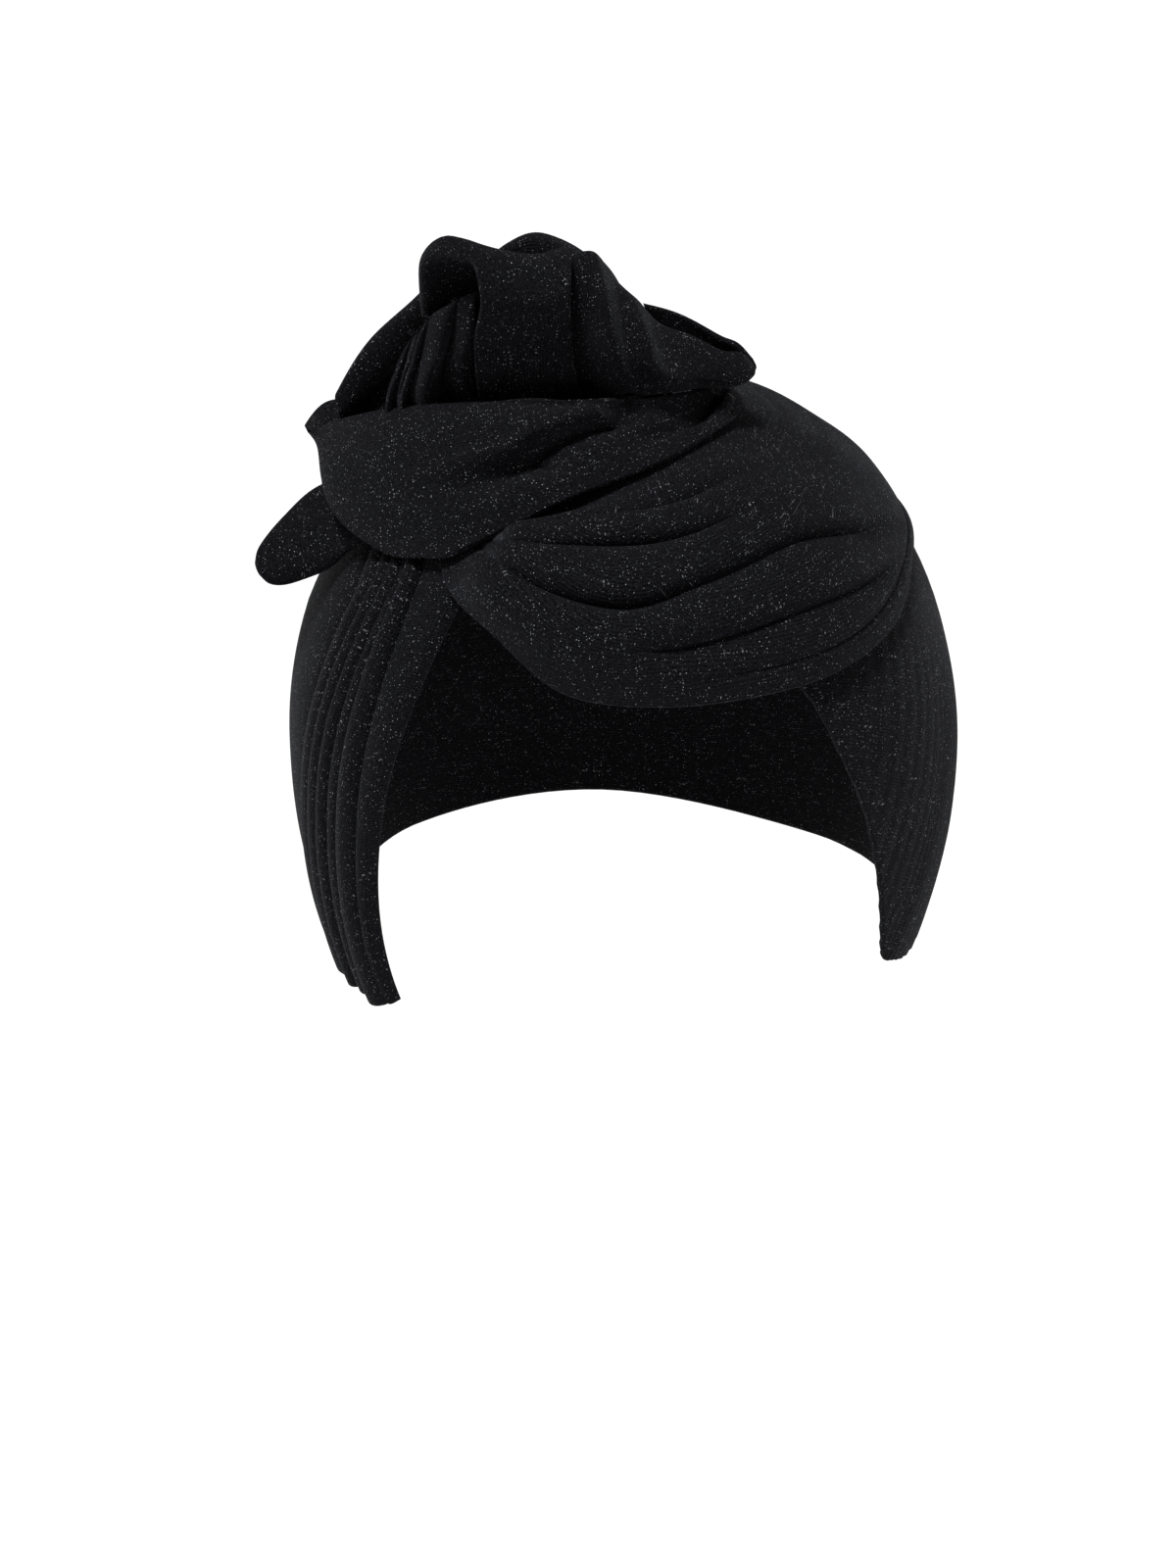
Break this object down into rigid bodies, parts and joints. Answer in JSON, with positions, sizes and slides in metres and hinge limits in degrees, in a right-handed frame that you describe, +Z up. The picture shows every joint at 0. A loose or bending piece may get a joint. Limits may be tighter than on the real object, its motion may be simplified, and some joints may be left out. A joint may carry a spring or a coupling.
{
  "type": "turban headwrap",
  "caption": "Black jersey turban headwrap: pleated cap with an open face, a draped front over the crown and a folded rosette of loops, band and tails.",
  "frame": {"origin": "inside top of the crown, where the wrap sits on the head", "axes": "+Z up, out of the crown; the face opening looks along -Y; +X is the wearer's left"},
  "size_m": [0.1666, 0.1783, 0.1873],
  "materials": {
    "cap": "matte pleated knit with fine silver specks",
    "front_drape": "matte draped knit with fine silver specks",
    "wrap_band": "matte knit with fine silver specks",
    "front_loop": "matte knit with fine silver specks",
    "inner_folds": "matte knit with fine silver specks",
    "left_panel": "matte knit with fine silver specks",
    "back_loop": "matte knit with fine silver specks",
    "right_folds": "matte knit with fine silver specks",
    "right_tail": "matte knit with fine silver specks",
    "left_tail": "matte knit with fine silver specks"
  },
  "bodies": {
    "root": {"cap": "cap", "front_drape": "front_drape", "wrap_band": "wrap_band", "front_loop": "front_loop", "inner_folds": "inner_folds", "left_panel": "left_panel", "back_loop": "back_loop", "right_folds": "right_folds", "right_tail": "right_tail", "left_tail": "left_tail"}
  },
  "joints": []
}
